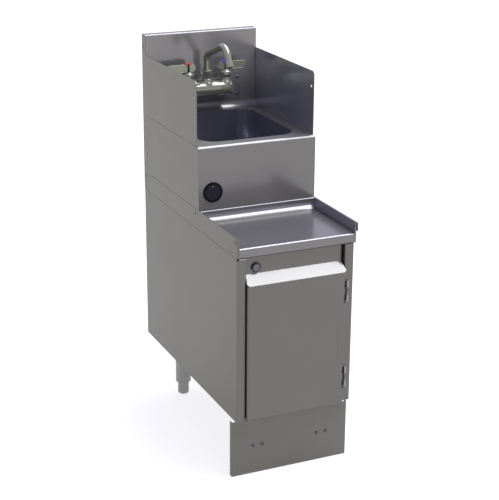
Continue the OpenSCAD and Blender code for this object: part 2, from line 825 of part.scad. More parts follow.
// Valves: a neck on the body, a wider bonnet on it, and a stem for the handle
neck_h = 14;
bonnet_r = 15.4;
bonnet_h = 13;
bonnet_edge = 2.5;
valve_stem_r = 4;
valve_stem_h = 14;
bonnet_top_z = body_top_z + neck_h + bonnet_h;
module valve() {
    rotate_extrude() polygon([
        [0, body_top_z - valve_seat_h],
        [valve_seat_r, body_top_z - valve_seat_h],
        [valve_seat_r, body_top_z],
        [neck_r, body_top_z],
        [neck_r, body_top_z + neck_h - bonnet_edge],
        [bonnet_r, body_top_z + neck_h],
        [bonnet_r, bonnet_top_z - bonnet_edge],
        [bonnet_r - bonnet_edge, bonnet_top_z],
        [valve_stem_r, bonnet_top_z],
        [valve_stem_r, bonnet_top_z + valve_stem_h],
        [0, bonnet_top_z + valve_stem_h]
    ]);
}
module hot_valve() in_frame() color(chrome) translate([-valve_x, tap_y, 0]) valve();
module cold_valve() in_frame() color(chrome) translate([valve_x, tap_y, 0]) valve();

// Wrist-blade handles: a hub over the stem and a tall blade, drawn for the cold side
hub_r = 6.8;
hub_z = bonnet_top_z + slip;
hub_top_z = hub_z + lever_h;
blade_t = 5;
blade_slant = 10;
blade_end_r = 9;
blade_lip = 4;
blade_lip_h = 2.5;
module handle() difference() {
    union() {
        rod_z(0, 0, hub_z, hub_top_z, hub_r);
        along_y(-blade_t / 2, blade_t / 2) {
            polygon([
                [0, hub_z],
                [0, hub_top_z],
                [lever_out, hub_top_z],
                [lever_out - blade_slant, hub_z]
            ]);
            round_rect([-lever_in, hub_z], [lever_in, hub_top_z], blade_end_r);
        }
        block([hub_r, -blade_t / 2 - blade_lip, hub_z], [lever_out - blade_slant, 0, hub_z + blade_lip_h]);
    }
    rod_z(0, 0, hub_z - overrun, bonnet_top_z + valve_stem_h + slip, valve_stem_r + running);
}
module hot_handle() in_frame() color(chrome) translate([-valve_x, tap_y, 0]) mirrored() handle();
module cold_handle() in_frame() color(chrome) translate([valve_x, tap_y, 0]) handle();
index_t = 1.6;
module hot_index() in_frame() color("red") rod_z(-valve_x, tap_y, hub_top_z, hub_top_z + index_t, index_r);
module cold_index() in_frame() color("blue") rod_z(valve_x, tap_y, hub_top_z, hub_top_z + index_t, index_r);

// Spout nut: a tall sleeve on the body with a bevelled collar
nut_sleeve_r = 9.6;
nut_collar_r = 12.8;
nut_sleeve_h = 26;
nut_collar_h = 4;
spout_foot_r = 6;
spout_foot_z = body_top_z + neck_h;
nut_top_z = body_top_z + nut_sleeve_h + nut_collar_h;
module spout_nut() in_frame() color(chrome) translate([0, tap_y, 0]) difference() {
    rotate_extrude() polygon([
        [0, body_top_z - valve_seat_h],
        [valve_seat_r, body_top_z - valve_seat_h],
        [valve_seat_r, body_top_z],
        [nut_sleeve_r, body_top_z],
        [nut_sleeve_r, body_top_z + nut_sleeve_h],
        [nut_collar_r, body_top_z + nut_sleeve_h],
        [nut_collar_r - bonnet_edge / 2, nut_top_z],
        [0, nut_top_z]
    ]);
    rod_z(0, 0, spout_foot_z, nut_top_z + overrun, spout_foot_r + running);
}

// Spout: a bent tube in the middle plane; its path is given as places in Y and Z
spout_bend_1 = 20;
spout_bend_2 = 30;
spout_bore_r = spout_r - spout_wall;
foot_bore_r = spout_foot_r - spout_wall;
spout_base_z = nut_top_z + slip;
spout_p0 = [tap_y, spout_base_z];
spout_p1 = [tap_y, body_top_z + spout_rise];
spout_p2 = spout_p1 + [-spout_run, spout_climb];
spout_p3 = spout_p2 + [-leg_run, -leg_drop];
spout_in = unit(spout_p2 - spout_p1);
spout_out = unit(spout_p3 - spout_p2);
function corner_cut(d0, d1, r) = r * tan(acos(d0 * d1) / 2);
spout_cut_1 = corner_cut([0, 1], spout_in, spout_bend_1);
spout_cut_2 = corner_cut(spout_in, spout_out, spout_bend_2);
module pipe(a, b, r) {
    d = b - a;
    translate([a[0], a[1], 0]) rotate([0, 0, atan2(d[1], d[0])]) rotate([0, 90, 0])
        cylinder(r = r, h = norm(d));
}
// Bend that turns left from direction d0 to d1 around the corner at p
module elbow(p, d0, d1, bend, r) {
    c = p - d0 * corner_cut(d0, d1, bend) + bend * left_of(d0);
    start = atan2(-left_of(d0)[1], -left_of(d0)[0]);
    translate([c[0], c[1], 0]) rotate([0, 0, start])
        rotate_extrude(angle = acos(d0 * d1)) translate([bend, 0]) circle(r);
}
// The straight stretches lap into the bends, which are wider by the lap's radius
spout_lap_r = 0.1;
spout_lap = 1;
module spout_path(r, low, tip) {
    pipe(spout_p0 + [0, low], spout_p1 - [0, spout_cut_1 - spout_lap], r);
    elbow(spout_p1, [0, 1], spout_in, spout_bend_1, r + spout_lap_r);
    pipe(
        spout_p1 + spout_in * (spout_cut_1 - spout_lap),
        spout_p2 - spout_in * (spout_cut_2 - spout_lap),
        r
    );
    elbow(spout_p2, spout_in, spout_out, spout_bend_2, r + spout_lap_r);
    pipe(spout_p2 + spout_out * (spout_cut_2 - spout_lap), spout_p3 + spout_out * tip, r);
}
spout_foot_len = spout_base_z - spout_foot_z - slip;
spout_floor = 2 * spout_wall;
module spout() in_frame() color(chrome) rotate([90, 0, 90]) difference() {
    union() {
        spout_path(spout_r, 0, 0);
        pipe(spout_p0 - [0, spout_foot_len], spout_p0 + [0, spout_wall], spout_foot_r);
    }
    spout_path(spout_bore_r, spout_floor, overrun);
    pipe(spout_p0 - [0, spout_foot_len + overrun], spout_p0 + [0, spout_floor + overrun], foot_bore_r);
}
aerator_r = 9.7;
aerator_h = 13;
aerator_bore_r = 5.5;
module aerator() in_frame() color(chrome) rotate([90, 0, 90]) difference() {
    pipe(spout_p3 - spout_out * aerator_h, spout_p3 + spout_out * sheet, aerator_r);
    pipe(spout_p3 - spout_out * (aerator_h + overrun), spout_p3, spout_r);
    pipe(spout_p3 - spout_out * overrun, spout_p3 + spout_out * 2 * overrun, aerator_bore_r);
}

// Legs and feet
leg_wall = 1.5;
gusset_t = 3;
leg_top_z = floor_top_z - sheet - gusset_t;
gusset_w = 64;
socket_wall = 2;
socket_h = 12;
insert_h = 14;
leg_x = unit_w / 2 - leg_in;
leg_places = [[-leg_x, front_leg_y], [leg_x, front_leg_y], [-leg_x, rear_leg_y], [leg_x, rear_leg_y]];
module leg(place) translate([place[0], place[1], 0]) difference() {
    rod_z(0, 0, foot_h, leg_top_z, leg_r);
    rod_z(0, 0, foot_h + insert_h, leg_top_z + overrun, leg_r - leg_wall);
    rod_z(0, 0, foot_h - overrun, foot_h + insert_h + overrun, stem_r + running);
}
module leg_front_left() in_frame() color(steel) leg(leg_places[0]);
module leg_front_right() in_frame() color(steel) leg(leg_places[1]);
module leg_rear_left() in_frame() color(steel) leg(leg_places[2]);
module leg_rear_right() in_frame() color(steel) leg(leg_places[3]);
module leg_gussets() in_frame() color(steel_dark) for (place = leg_places)
    translate([place[0], place[1], 0]) {
    block([-gusset_w / 2, -gusset_w / 2, leg_top_z], [gusset_w / 2, gusset_w / 2, leg_top_z + gusset_t]);
    difference() {
        rod_z(0, 0, leg_top_z - socket_h, leg_top_z, leg_r + socket_wall);
        rod_z(0, 0, leg_top_z - socket_h - overrun, leg_top_z, leg_r);
    }
}
foot_edge = 6;
foot_waist = 2;
stem_top_z = foot_h + insert_h + foot_travel;
module foot(place) translate([place[0], place[1], 0]) rotate_extrude() {
    translate([0, foot_edge]) square([foot_r, foot_h - slip - foot_waist - foot_edge]);
    square([foot_r - foot_edge, foot_h - slip]);
    translate([foot_r - foot_edge, foot_edge]) intersection() {
        circle(foot_edge);
        translate([0, -foot_edge]) square(foot_edge);
    }
    polygon([
        [0, foot_h - slip - foot_waist],
        [foot_r, foot_h - slip - foot_waist],
        [foot_r - foot_waist, foot_h - slip],
        [0, foot_h - slip]
    ]);
    square([stem_r, stem_top_z]);
}
module foot_front_left() in_frame() color(steel) foot(leg_places[0]);
module foot_front_right() in_frame() color(steel) foot(leg_places[1]);
module foot_rear_left() in_frame() color(steel) foot(leg_places[2]);
module foot_rear_right() in_frame() color(steel) foot(leg_places[3]);

// Toe kick: a panel with side returns, clipped round the front legs
toe_screw_r = 2;
return_hole_r = 2.4;
return_hole_in = 3.8;
return_hole_y = toe_setback + toe_return - return_hole_in;
return_hole_shares = [0.22, 0.77];
module toe_kick() in_frame() color(steel) difference() {
    along_z(toe_gap, toe_top) bent_sheet(
        [
            [left_x, toe_setback + toe_return],
            [left_x, toe_setback],
            [right_x, toe_setback],
            [right_x, toe_setback + toe_return]
        ],
        [bend_r, bend_r],
        sheet
    );
    for (share = return_hole_shares)
        rod_x(return_hole_y, share * toe_top, left_x - overrun, right_x + overrun, return_hole_r);
    for (side = [-1, 1])
        for (pair = [-1, 1])
            rod_y(
                side * leg_x + pair * toe_screw_pitch / 2,
                toe_screw_z,
                toe_setback - overrun,
                toe_setback + 2 * sheet,
                toe_screw_r
            );
}
clip_t = 2;
clip_h = 30;
clip_y = toe_setback + sheet;
clip_ear = 8;
clip_w = 2 * (leg_r + clip_t + clip_ear);
clip_cut_y = front_leg_y + leg_r / 3;
module toe_clips() in_frame() color(steel_dark) for (side = [-1, 1]) difference() {
    union() {
        block(
            [side * leg_x - clip_w / 2, clip_y, toe_screw_z - clip_h / 2],
            [side * leg_x + clip_w / 2, clip_y + clip_t, toe_screw_z + clip_h / 2]
        );
        rod_z(side * leg_x, front_leg_y, toe_screw_z - clip_h / 2, toe_screw_z + clip_h / 2, leg_r + clip_t);
        block(
            [side * leg_x - leg_r - clip_t, clip_y, toe_screw_z - clip_h / 2],
            [side * leg_x + leg_r + clip_t, front_leg_y, toe_screw_z + clip_h / 2]
        );
    }
    rod_z(
        side * leg_x,
        front_leg_y,
        toe_screw_z - clip_h / 2 - overrun,
        toe_screw_z + clip_h / 2 + overrun,
        leg_r
    );
    block(
        [side * leg_x - clip_w, clip_cut_y, toe_screw_z - clip_h],
        [side * leg_x + clip_w, front_leg_y + 2 * leg_r, toe_screw_z + clip_h]
    );
    for (pair = [-1, 1])
        rod_y(
            side * leg_x + pair * toe_screw_pitch / 2,
            toe_screw_z,
            clip_y - overrun,
            clip_y + screw_tail,
            toe_screw_r
        );
}
module toe_screws() in_frame() color(chrome)
    for (side = [-1, 1])
        for (pair = [-1, 1])
            screw_y(
                side * leg_x + pair * toe_screw_pitch / 2,
                toe_screw_z,
                toe_setback,
                toe_screw_r,
                sheet + clip_t
            );

// Door skin: recessed strip, sloped pull, proud face and lower return
door_left_x = opening_left_x - door_overlay;
door_right_x = opening_right_x + door_overlay;
inner_left_x = opening_left_x + door_clear;
inner_right_x = opening_right_x - door_clear;
door_bottom_z = cabinet_z + door_foot_gap;
strip_bottom_z = apron_z - strip_h;
strip_top_z = cabinet_top_z - door_clear;
strip_return = 8;
pull_bottom_z = strip_bottom_z - pull_drop;
pull_bend_r = 2.2;
side_step_y = 3.2;
door_return = door_proud - door_bend_r - slip;
skin_back_y = -door_proud + door_bend_r + door_return / 2;
hinge_z = [pull_bottom_z - hinge_drop, door_bottom_z + hinge_rise];
hinge_gap = 0.9;
hinge_x = door_right_x + hinge_gap + hinge_r;
hinge_y = -2 * hinge_r;
notch_w = 5.7;
notch_extra = slip + overrun;
module hinge_notches() for (z = hinge_z) block(
    [door_right_x - notch_w, -door_proud - overrun, z - hinge_len / 2 - notch_extra],
    [door_right_x + overrun, strip_y, z + hinge_len / 2 + notch_extra]
);
module door_skin() in_frame() color(steel) difference() {
    union() {
        intersection() {
            along_x(door_left_x, door_right_x) bent_sheet(
                [
                    [strip_y + strip_return, strip_top_z],
                    [strip_y, strip_top_z],
                    [strip_y, strip_bottom_z],
                    [-door_proud, pull_bottom_z],
                    [-door_proud, door_bottom_z],
                    [skin_back_y, door_bottom_z]
                ],
                [bend_r, pull_bend_r, pull_bend_r, door_bend_r],
                sheet
            );
            along_z(door_bottom_z - overrun, strip_top_z + overrun) polygon([
                [door_left_x + door_bend_r, -door_proud],
                [door_left_x, -door_proud + door_bend_r],
                [inner_left_x, side_step_y],
                [inner_left_x, strip_y + strip_return + overrun],
                [inner_right_x, strip_y + strip_return + overrun],
                [inner_right_x, side_step_y],
                [door_right_x, -door_proud + door_bend_r],
                [door_right_x - door_bend_r, -door_proud]
            ]);
        }
        door_edge(door_left_x);
        mirror_about_door() door_edge(door_left_x);
    }
    hinge_notches();
    rod_y(lock_x, lock_z, strip_y - overrun, strip_y + 2 * sheet, lock_neck_r);
}
// Bent side return of the door's face, from its lower edge to the pull
module door_edge(x) along_z(door_bottom_z, pull_bottom_z) bent_sheet(
    [
        [x + 2 * door_bend_r, -door_proud],
        [x, -door_proud],
        [x, skin_back_y]
    ],
    [door_bend_r],
    -sheet
);
module mirror_about_door() {
    translate([door_left_x + door_right_x, 0, 0]) mirror([1, 0, 0]) children();
}

// Inner pan of the door: a shallow box that stiffens the skin from behind
pan_inset = 10;
pan_clear = 3;
pan_left_x = inner_left_x + pan_inset;
pan_right_x = inner_right_x - pan_inset;
pan_bottom_z = sill_top_z + pan_clear;
pan_top_z = pull_bottom_z - door_clear;
pan_front_y = -door_proud + sheet;
module door_pan() in_frame() color(steel_dark) difference() {
    block([pan_left_x, pan_front_y, pan_bottom_z], [pan_right_x, strip_y, pan_top_z]);
    block(
        [pan_left_x + sheet, pan_front_y - overrun, pan_bottom_z + sheet],
        [pan_right_x - sheet, strip_y - sheet, pan_top_z - sheet]
    );
}

// Hinges: two outer knuckles welded to the stile, one on the door's leaf, and a pin
knuckle_gap = 0.3;
knuckle_len = (hinge_len - 2 * knuckle_gap) / 3;
web_t = 2.4;
leaf_t = 1.8;
leaf_y = hinge_y + hinge_r / 2;
module knuckle(z0, z1, bore) difference() {
    rod_z(hinge_x, hinge_y, z0, z1, hinge_r);
    rod_z(hinge_x, hinge_y, z0 - overrun, z1 + overrun, bore);
}
module hinge_barrels() in_frame() color(steel)
    for (z = hinge_z)
        for (side = [-1, 1]) {
            centre = z + side * (knuckle_len + knuckle_gap);
            knuckle(centre - knuckle_len / 2, centre + knuckle_len / 2, hinge_pin_r);
            difference() {
                block(
                    [hinge_x, hinge_y, centre - knuckle_len / 2],
                    [hinge_x + web_t, 0, centre + knuckle_len / 2]
                );
                rod_z(hinge_x, hinge_y, z - hinge_len, z + hinge_len, hinge_pin_r);
            }
        }
module hinge_leaves() in_frame() color(steel_dark)
    for (z = hinge_z) {
        knuckle(z - knuckle_len / 2, z + knuckle_len / 2, hinge_pin_r + running);
        difference() {
            block(
                [pan_right_x, leaf_y, z - knuckle_len / 2],
                [hinge_x - hinge_r / 2, leaf_y + leaf_t, z + knuckle_len / 2]
            );
            rod_z(hinge_x, hinge_y, z - hinge_len, z + hinge_len, hinge_r - sheet);
        }
    }
module hinge_pins() in_frame() color(chrome)
    for (z = hinge_z) rod_z(hinge_x, hinge_y, z - hinge_len / 2, z + hinge_len / 2, hinge_pin_r);

// Lock
lock_shoulder = 1.5;
lock_rim = 2.4;
lock_neck_r = lock_r - lock_shoulder;
bezel_t = 1.5;
plug_turn_r = lock_r - lock_rim;
keyway_w = 5.5;
keyway_h = 1.6;
keyway_d = 3;
lock_nut_t = 4;
lock_nut_lip = 4;
lock_nut_r = lock_neck_r + lock_nut_lip;
module lock_barrel() in_frame() color(black) difference() {
    union() {
        rod_y(lock_x, lock_z, strip_y - bezel_t, strip_y, lock_bezel_r);
        rod_y(lock_x, lock_z, strip_y - lock_proud, strip_y, lock_r);
        rod_y(lock_x, lock_z, strip_y, cam_y - slip, lock_neck_r);
        rod_y_sided(lock_x, lock_z, strip_y + sheet, strip_y + sheet + lock_nut_t, lock_nut_r, 6);
    }
    rod_y(lock_x, lock_z, strip_y - lock_proud - overrun, cam_y, plug_turn_r + running);
}
module lock_plug() in_frame() color(chrome) difference() {
    rod_y(lock_x, lock_z, strip_y - lock_proud, cam_y, plug_turn_r);
    block(
        [lock_x - keyway_w / 2, strip_y - lock_proud - overrun, lock_z - keyway_h / 2],
        [lock_x + keyway_w / 2, strip_y - lock_proud + keyway_d, lock_z + keyway_h / 2]
    );
}
module lock_cam() in_frame() color(steel_dark) along_y(cam_y, cam_y + cam_t) {
    translate([lock_x, lock_z]) circle(cam_w / 2);
    translate([lock_x - cam_w / 2, lock_z - cam_reach + cam_w / 2]) square([cam_w, cam_reach - cam_w / 2]);
    translate([lock_x, lock_z - cam_reach + cam_w / 2]) circle(cam_w / 2);
}

// Line grommet in the riser: a black ring with a turning cap
ring_t = 2.5;
sleeve_len = 14;
sleeve_wall = 2;
cap_t = 2;
cap_recess = 0.5;
cap_skirt = 9;
pip_r = 2.4;
pip_share = 0.74;
cap_seat_r = cap_r - sleeve_wall;
module grommet_ring() in_frame() color(black) difference() {
    union() {
        rod_y(grommet_x, grommet_z, riser_y - ring_t, riser_y, grommet_r);
        rod_y(grommet_x, grommet_z, riser_y, riser_y + sleeve_len, grommet_sleeve_r);
    }
    rod_y(grommet_x, grommet_z, riser_y - ring_t - overrun, riser_y + cap_t + slip, cap_r + running);
    rod_y(grommet_x, grommet_z, riser_y, riser_y + sleeve_len + overrun, cap_seat_r);
}
module grommet_cap() in_frame() color(slate) {
    difference() {
        rod_y(grommet_x, grommet_z, riser_y - ring_t + cap_recess, riser_y + cap_t, cap_r);
        rod_y(
            grommet_x,
            grommet_z + pip_share * cap_r,
            riser_y - ring_t,
            riser_y - ring_t + cap_recess + cap_t / 2,
            pip_r
        );
    }
    difference() {
        rod_y(grommet_x, grommet_z, riser_y + cap_t, riser_y + cap_t + cap_skirt, cap_seat_r - slip);
        rod_y(
            grommet_x,
            grommet_z,
            riser_y + cap_t,
            riser_y + cap_t + cap_skirt + overrun,
            cap_seat_r - slip - sleeve_wall
        );
    }
}

left_side_panel();
right_side_panel();
rear_panel();
cabinet_floor();
frame_sill();
frame_header();
latch_keeper();
work_deck();
left_skirt();
right_skirt();
sink_top();
left_riser_side();
right_riser_side();
riser_back();
left_splash_guard();
right_splash_guard();
left_end_cap();
right_end_cap();
joining_plugs();
sink_bowl();
drain_flange();
drain_locknut();
drain_tailpiece();
crumb_strainer();
tap_plate();
plate_screws();
tap_body();
supply_shanks();
shank_nuts();
hot_valve();
cold_valve();
hot_handle();
cold_handle();
hot_index();
cold_index();
spout_nut();
spout();
aerator();
leg_gussets();
leg_front_left();
leg_front_right();
leg_rear_left();
leg_rear_right();
foot_front_left();
foot_front_right();
foot_rear_left();
foot_rear_right();
toe_kick();
toe_clips();
toe_screws();
door_skin();
door_pan();
hinge_barrels();
hinge_leaves();
hinge_pins();
lock_barrel();
lock_plug();
lock_cam();
grommet_ring();
grommet_cap();
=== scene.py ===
import json
import math
import bpy
import bmesh
from mathutils import Matrix, Vector


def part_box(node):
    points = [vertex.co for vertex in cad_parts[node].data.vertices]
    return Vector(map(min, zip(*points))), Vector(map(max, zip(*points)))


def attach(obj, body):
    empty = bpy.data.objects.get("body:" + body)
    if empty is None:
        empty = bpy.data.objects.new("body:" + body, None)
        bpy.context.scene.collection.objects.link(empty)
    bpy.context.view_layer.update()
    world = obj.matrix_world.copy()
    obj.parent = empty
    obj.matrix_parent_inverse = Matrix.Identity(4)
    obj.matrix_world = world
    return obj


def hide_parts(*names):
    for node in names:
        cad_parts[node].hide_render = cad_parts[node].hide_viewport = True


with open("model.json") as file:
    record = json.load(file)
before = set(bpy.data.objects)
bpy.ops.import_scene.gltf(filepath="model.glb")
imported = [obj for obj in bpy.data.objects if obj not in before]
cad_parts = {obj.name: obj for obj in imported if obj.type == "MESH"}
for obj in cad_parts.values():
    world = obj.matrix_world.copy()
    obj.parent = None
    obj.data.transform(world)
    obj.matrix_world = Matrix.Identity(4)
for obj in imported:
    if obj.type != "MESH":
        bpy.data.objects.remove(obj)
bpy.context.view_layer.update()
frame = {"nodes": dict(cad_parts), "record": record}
nodes = frame["nodes"]

MM_PER_M = 1000
AXIS_Z = Vector((0, 0, 1))
TO_FRONT = Vector((0, -1, 0))
# Places are given in millimetres: X and Z as in the part, Y counted from the face of the door frame
FRAME_Y = -296.9


def place(x, y, z):
    return Vector((x / MM_PER_M, (y + FRAME_Y) / MM_PER_M, z / MM_PER_M))


def shade(colour, share):
    return tuple(c * share for c in colour)


class Tree:
    """Short hand for building one node tree."""

    def __init__(self, tree):
        self.tree = tree

    def add(self, kind, **values):
        node = self.tree.nodes.new(kind)
        for key, value in values.items():
            if key in node.inputs:
                node.inputs[key].default_value = value
            else:
                setattr(node, key, value)
        return node

    def link(self, a, b):
        self.tree.links.new(a, b)

    def feed(self, socket, value):
        """Sets a number or a colour on a socket, or links an output to it."""
        if isinstance(value, tuple):
            socket.default_value = (*value, 1)
        elif isinstance(value, (int, float)):
            socket.default_value = value
        else:
            self.link(value, socket)

    def math(self, operation, *values):
        node = self.add("ShaderNodeMath", operation=operation)
        for socket, value in zip(node.inputs, values):
            self.feed(socket, value)
        return node.outputs[0]

    def split(self, vector):
        node = self.add("ShaderNodeSeparateXYZ")
        self.link(vector, node.inputs[0])
        return node.outputs

    def coords(self, kind):
        return self.add("ShaderNodeTexCoord").outputs[kind]

    def spread(self, value, low, high, src_low=0.3, src_high=0.7, curve="LINEAR"):
        node = self.add("ShaderNodeMapRange", interpolation_type=curve)
        node.inputs["From Min"].default_value = src_low
        node.inputs["From Max"].default_value = src_high
        node.inputs["To Min"].default_value = low
        node.inputs["To Max"].default_value = high
        self.link(value, node.inputs["Value"])
        return node.outputs["Result"]

    def mix_shader(self, fac, a, b):
        node = self.add("ShaderNodeMixShader")
        self.feed(node.inputs[0], fac)
        self.link(a, node.inputs[1])
        self.link(b, node.inputs[2])
        return node.outputs[0]

    def add_shader(self, a, b):
        node = self.add("ShaderNodeAddShader")
        self.link(a, node.inputs[0])
        self.link(b, node.inputs[1])
        return node.outputs[0]

    def ray_kinds(self):
        """Whether a ray comes from the camera, and whether from a reflection or through glass."""
        rays = self.add("ShaderNodeLightPath").outputs
        mirrored = self.math("MAXIMUM", rays["Is Glossy Ray"], rays["Is Transmission Ray"])
        return rays["Is Camera Ray"], mirrored


class Finish(Tree):
    """A material with its principled shader."""

    def __init__(self, name, **values):
        self.mat = bpy.data.materials.new(name)
        self.mat.use_nodes = True
        super().__init__(self.mat.node_tree)
        self.shader = self.tree.nodes["Principled BSDF"]
        for key, value in values.items():
            self.feed(self.shader.inputs[key.replace("_", " ")], value)

    def noise(self, scale, detail, rough, offset, stretch=(1, 1, 1)):
        mapping = self.add("ShaderNodeMapping")
        mapping.inputs["Scale"].default_value = stretch
        mapping.inputs["Location"].default_value = offset
        self.link(self.coords("Object"), mapping.inputs["Vector"])
        node = self.add("ShaderNodeTexNoise", Scale=scale, Detail=detail, Roughness=rough)
        self.link(mapping.outputs["Vector"], node.inputs["Vector"])
        return node.outputs["Fac"]

    def blend(self, fac, a, b, kind="MIX"):
        node = self.add("ShaderNodeMix", data_type="RGBA", blend_type=kind)
        for socket, value in ((node.inputs[0], fac), (node.inputs[6], a), (node.inputs[7], b)):
            self.feed(socket, value)
        return node.outputs[2]

    def mix_value(self, fac, a, b):
        node = self.add("ShaderNodeMix", data_type="FLOAT")
        for socket, value in ((node.inputs[0], fac), (node.inputs[2], a), (node.inputs[3], b)):
            self.feed(socket, value)
        return node.outputs[0]

    def bump(self, height, distance, strength):
        node = self.add("ShaderNodeBump", Strength=strength, Distance=distance)
        self.link(height, node.inputs["Height"])
        self.link(node.outputs["Normal"], self.shader.inputs["Normal"])


# Share of mirror-like reflection in the steel; the rest is the haze of its satin finish
METAL = 0.68
PLATE_METAL = 0.5
# A satin finish returns less light at a grazing angle than a polished one
SATIN_EDGE = 0.73
SATIN_LEVEL = 0.32
POLISHED_EDGE = 1
POLISHED_LEVEL = 0.5
EDGE_BLUE = 0.93
GRAIN = dict(scale=1.0, detail=4.0, rough=0.62)
# Noise across the grain of an upright and of a level face, many times finer than along it
UPRIGHT_GRAIN = (9, 9, 1400)
LEVEL_GRAIN = (9, 1400, 9)
GRAIN_EDGES = (0.25, 0.75)
GRAIN_TONE = 0.05
GRAIN_ROUGH = 0.02
GRAIN_DEPTH = 0.00001
GRAIN_BUMP = 0.25
CLOUD = dict(scale=7.0, detail=4.0, rough=0.55, stretch=(1, 1, 1.4))
CLOUD_TONE = 0.8
CLOUD_SHARE = 0.09
CLOUD_ROUGH = (-0.025, 0.03)
WIPE = dict(scale=26.0, detail=3.0, rough=0.6, stretch=(1, 1, 0.35))
WIPE_ROUGH = (-0.012, 0.018)
# How much of a normal has to point along an axis for its face to count as level, top or left; the
# top and left ones mark faces for painted shade
LEVEL_FACE = 0.7
TOP_FACE = 0.97
LEFT_FACE = -0.7
# Half the height over which the painted shade below a height fades in, in metres
PAINTED_SHADE_FADE = 0.006


def steel_grain(n, seed, upward):
    """Fine lines, which run along X on upright faces and on level ones."""
    level = n.math("GREATER_THAN", n.math("ABSOLUTE", upward), LEVEL_FACE)
    upright_lines = n.noise(**GRAIN, stretch=UPRIGHT_GRAIN, offset=(seed, 0, seed))
    level_lines = n.noise(**GRAIN, stretch=LEVEL_GRAIN, offset=(0, seed, seed))
    return n.mix_value(level, upright_lines, level_lines)


def painted_local_shade(n, tone, colour, normal, painted_riser_shade, top, painted_outer_shade):
    """Paints shade into the tone: darker below a height, on the topmost level face, or on all but
    the left face.
    """
    # Painted shade on every face but the left-facing one
    if painted_outer_shade:
        tone = n.blend(n.math("GREATER_THAN", normal["X"], LEFT_FACE), tone, painted_outer_shade, "MULTIPLY")
    # Painted shade below a height
    if painted_riser_shade:
        height, share = painted_riser_shade
        z = n.split(n.coords("Object"))["Z"]
        above = n.spread(z, 0, 1, height - PAINTED_SHADE_FADE, height + PAINTED_SHADE_FADE)
        tone = n.blend(above, shade(colour, share), tone)
    # Painted shade on the topmost level face
    if top:
        height, share = top
        level = n.math("GREATER_THAN", normal["Z"], TOP_FACE)
        upper = n.math("GREATER_THAN", n.split(n.coords("Object"))["Z"], height)
        tone = n.blend(n.math("MULTIPLY", level, upper), tone, share, "MULTIPLY")
    return tone


def sheet_metal(name, colour, rough, grain, spot, seed, metal=METAL, edge=SATIN_EDGE,
                painted_riser_shade=None, top=None, painted_outer_shade=None):
    """Satin stainless: fine grain, cloudy polish and faint handling marks, with painted shade by
    height and by face where asked.
    """
    level = POLISHED_LEVEL if edge == POLISHED_EDGE else SATIN_LEVEL
    tint = (edge, edge, edge * EDGE_BLUE)
    n = Finish(name, Metallic=metal, Specular_Tint=tint, Specular_IOR_Level=level)
    normal = n.split(n.coords("Normal"))
    lines = steel_grain(n, seed, normal["Z"])
    cloud = n.noise(**CLOUD, offset=(seed, seed, 0))
    wipe = n.noise(**WIPE, offset=(0, seed, 2 * seed))
    low = shade(colour, 1 - GRAIN_TONE * grain)
    high = shade(colour, 1 + GRAIN_TONE * grain)
    tone = n.blend(n.spread(lines, 0, 1, *GRAIN_EDGES), low, high)
    tone = n.blend(n.spread(cloud, 0.0, CLOUD_SHARE * spot), tone, shade(colour, CLOUD_TONE))
    tone = painted_local_shade(n, tone, colour, normal, painted_riser_shade, top, painted_outer_shade)
    n.link(tone, n.shader.inputs["Base Color"])
    r = n.spread(cloud, *(rough + change * spot for change in CLOUD_ROUGH))
    r = n.math("ADD", r, n.spread(wipe, *(change * spot for change in WIPE_ROUGH)))
    r = n.math("ADD", r, n.spread(lines, -GRAIN_ROUGH * grain, GRAIN_ROUGH * grain))
    n.link(r, n.shader.inputs["Roughness"])
    n.bump(lines, GRAIN_DEPTH * grain, GRAIN_BUMP)
    return n.mat


HAZE = dict(scale=60.0, detail=4.0, rough=0.6)
HAZE_TONE = 0.86
HAZE_SHARE = 0.12
HAZE_ROUGH = (-0.02, 0.03)
HAZE_DEPTH = 0.00004
HAZE_BUMP = 0.3
WATER = dict(scale=420.0, detail=2.0, rough=0.5)
WATER_EDGES = (0.64, 0.7)
WATER_ROUGH = 0.06


def polished(name, colour, rough, seed):
    """Bright plate: sharp reflections with fine polishing haze and water spots."""
    n = Finish(name, Metallic=PLATE_METAL)
    haze = n.noise(**HAZE, offset=(seed, 0, 0))
    dots = n.spread(n.noise(**WATER, offset=(0, seed, 0)), 0, 1, *WATER_EDGES)
    tone = n.blend(n.spread(haze, 0.0, HAZE_SHARE), colour, shade(colour, HAZE_TONE))
    n.link(tone, n.shader.inputs["Base Color"])
    r = n.spread(haze, *(rough + change for change in HAZE_ROUGH))
    r = n.math("ADD", r, n.math("MULTIPLY", dots, WATER_ROUGH))
    n.link(r, n.shader.inputs["Roughness"])
    n.bump(haze, HAZE_DEPTH, HAZE_BUMP)
    return n.mat


PEBBLES = dict(scale=1300.0, detail=3.0, rough=0.5)
PEBBLE_DEPTH = 0.00005
PEBBLE_BUMP = 0.4
RUB = dict(scale=55.0, detail=3.0, rough=0.5)
RUB_EDGES = (0.35, 0.75)
RUB_SHARE = 0.35
RUB_TONE = 0.75
WEAR_SHARE = 0.1
RUB_ROUGH = (-0.05, 0.08)


def plastic(name, colour, rough, pebble, wear, seed, gloss=0.5):
    """Moulded plastic: fine pebble, cloudy gloss and rubbed high spots."""
    n = Finish(name, Specular_IOR_Level=gloss)
    pebbles = n.noise(**PEBBLES, offset=(seed, 0, 0))
    rub = n.noise(**RUB, offset=(0, seed, 0))
    rubbed = tuple(c * RUB_TONE + w * WEAR_SHARE for c, w in zip(colour, wear))
    tone = n.blend(n.spread(rub, 0.0, RUB_SHARE, *RUB_EDGES), colour, rubbed)
    n.link(tone, n.shader.inputs["Base Color"])
    r = n.spread(rub, *(rough + change for change in RUB_ROUGH))
    n.link(r, n.shader.inputs["Roughness"])
    n.bump(pebbles, PEBBLE_DEPTH * pebble, PEBBLE_BUMP)
    return n.mat


